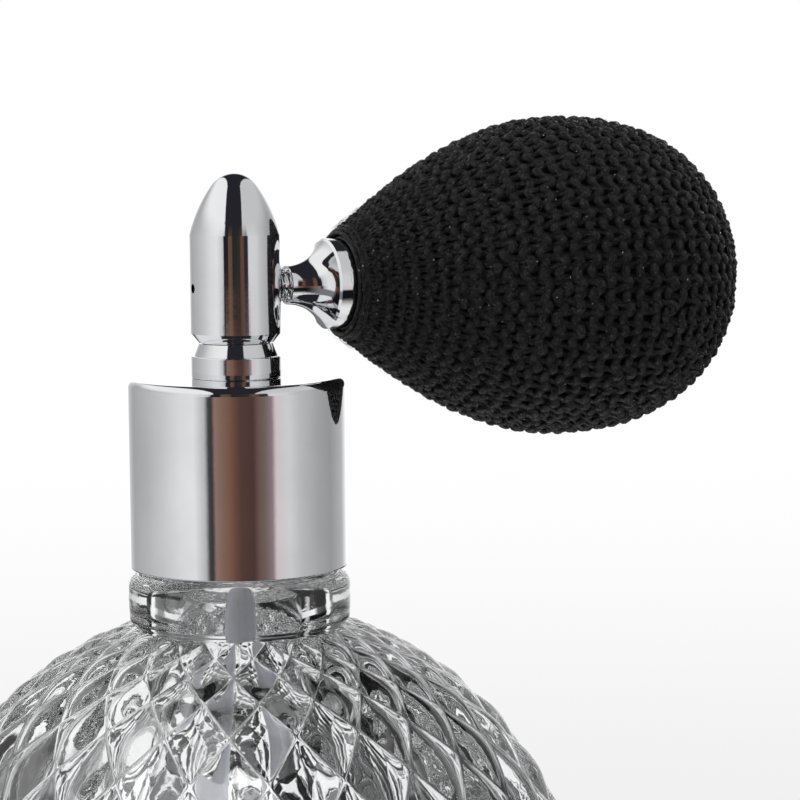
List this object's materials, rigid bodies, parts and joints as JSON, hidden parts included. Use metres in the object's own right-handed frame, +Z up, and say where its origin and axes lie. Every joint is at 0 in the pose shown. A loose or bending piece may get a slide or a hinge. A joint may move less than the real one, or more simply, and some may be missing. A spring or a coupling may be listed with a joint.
{
  "type": "perfume atomiser",
  "caption": "Refillable perfume atomiser: ball-shaped cut-pattern glass bottle, chrome screw collar, bullet spray head and a knit-covered squeeze bulb on a trumpet ferrule.",
  "frame": {"origin": "centre of the bottle's foot, on the bottle's axis", "axes": "+Z up along the bottle and the spray head, +X from the spray head towards the bulb, so the spray leaves along -X"},
  "size_m": [0.1059, 0.0834, 0.1322],
  "materials": {
    "clear_glass": "polished",
    "chrome_metal": "mirror polished",
    "black_knit": "open weft knit, slightly glossy yarn",
    "black_rubber": "matte",
    "milky_tube": "translucent",
    "white_plastic": "moulded",
    "grey_seal": "matte",
    "brass_metal": "turned",
    "plain_steel": "plain"
  },
  "bodies": {
    "bottle": {"glass_bottle": "clear_glass"},
    "gasket": {"neck_gasket": "grey_seal"},
    "stem": {"head_base": "chrome_metal", "stem_washer": "plain_steel", "stem_nut": "brass_metal"},
    "collar": {"collar_shell": "chrome_metal", "collar_insert": "white_plastic"},
    "head": {"head_shell": "chrome_metal", "spray_core": "white_plastic", "liquid_jet": "plain_steel", "nozzle_insert": "brass_metal", "thread_bush": "brass_metal", "stem_o_ring": "black_rubber", "swivel_clip": "plain_steel", "dip_tube": "milky_tube"},
    "screw_seal": {"connector_seal": "black_rubber"},
    "bulb": {"air_connector": "chrome_metal", "bulb_ferrule": "chrome_metal", "bulb_plug": "brass_metal", "outlet_valve_seat": "white_plastic", "rubber_bulb": "black_rubber", "knit_cover": "black_knit"},
    "outlet_valve": {"outlet_valve_disc": "grey_seal"},
    "bulb_tail": {"intake_valve_body": "brass_metal", "intake_valve_cage": "white_plastic"},
    "intake_valve": {"intake_valve_disc": "grey_seal"}
  },
  "joints": [
    {"name": "head_lift_off", "type": "slide", "parent": "bottle", "child": "gasket", "axis": [0, 0, 1], "range_m": [0, 0.092]},
    {"name": "collar_rise", "type": "slide", "parent": "gasket", "child": "stem", "axis": [0, 0, 1], "range_m": [0, 0.00397]},
    {"name": "collar_unscrew", "type": "hinge", "parent": "stem", "child": "collar", "pos_m": [0, 0, 0.09], "axis": [0, 0, 1], "range_deg": [0, 450]},
    {"name": "head_swivel", "type": "hinge", "parent": "stem", "child": "head", "pos_m": [0, 0, 0.11263], "axis": [0, 0, 1], "continuous": true},
    {"name": "screw_back_off", "type": "slide", "parent": "head", "child": "screw_seal", "axis": [1, 0, 0], "range_m": [0, 0.0028]},
    {"name": "bulb_unscrew", "type": "hinge", "parent": "screw_seal", "child": "bulb", "pos_m": [0.012, 0, 0.11263], "axis": [1, 0, 0], "range_deg": [0, 1440]},
    {"name": "bulb_squeeze", "type": "slide", "parent": "bulb", "child": "bulb_tail", "axis": [-1, 0, 0], "range_m": [0, 0.016], "stiffness_N_per_m": 250, "deforming": ["rubber_bulb", "knit_cover"]},
    {"name": "outlet_valve_lift", "type": "slide", "parent": "bulb", "child": "outlet_valve", "axis": [-1, 0, 0], "range_m": [0, 0.0004]},
    {"name": "intake_valve_lift", "type": "slide", "parent": "bulb_tail", "child": "intake_valve", "axis": [-1, 0, 0], "range_m": [0, 0.0004]}
  ],
  "couplings": [
    {"joint": "collar_unscrew", "follows": "collar_rise", "rad_per_m": 1979},
    {"joint": "bulb_unscrew", "follows": "screw_back_off", "rad_per_m": 8976},
    {"joint": "outlet_valve_lift", "follows": "bulb_squeeze", "ratio": 0.025}
  ]
}
